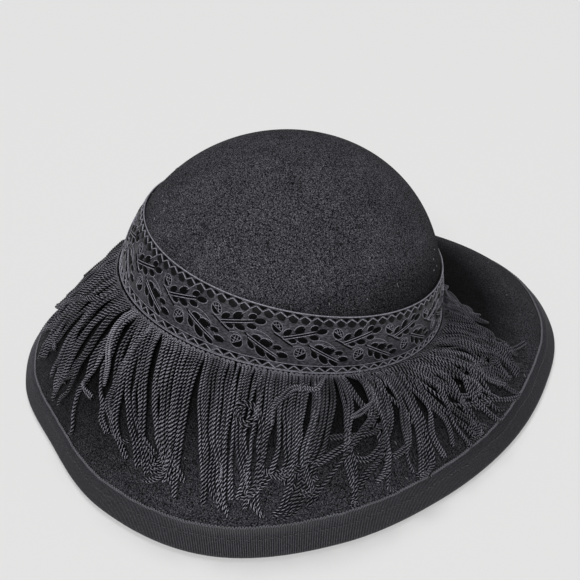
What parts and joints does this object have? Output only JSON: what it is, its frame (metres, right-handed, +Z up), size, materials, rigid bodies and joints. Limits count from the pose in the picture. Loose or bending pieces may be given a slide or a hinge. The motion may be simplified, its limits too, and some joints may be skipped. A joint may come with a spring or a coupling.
{
  "type": "fringed wide-brim felt hat",
  "caption": "Dark wool felt hat with a round crown, a wide drooping ribbon-bound brim, a woven oak-leaf band and a long twisted-cord fringe.",
  "frame": {"origin": "middle of the bounding box, on the table that the brim's edge rests on", "axes": "+Z up through the crown, -Y towards the front of the hat, +X towards the wearer's left"},
  "size_m": [0.3009, 0.3537, 0.1475],
  "materials": {
    "felt": "matte wool felt with fine pale fibres",
    "binding_ribbon": "ribbed grosgrain ribbon",
    "band_ribbon": "woven ribbon with a soft satin sheen",
    "fringe_cord": "twisted silky cord"
  },
  "bodies": {
    "root": {"felt_body": "felt", "brim_binding": "binding_ribbon", "hat_band": "band_ribbon", "fringe": "fringe_cord"}
  },
  "joints": []
}
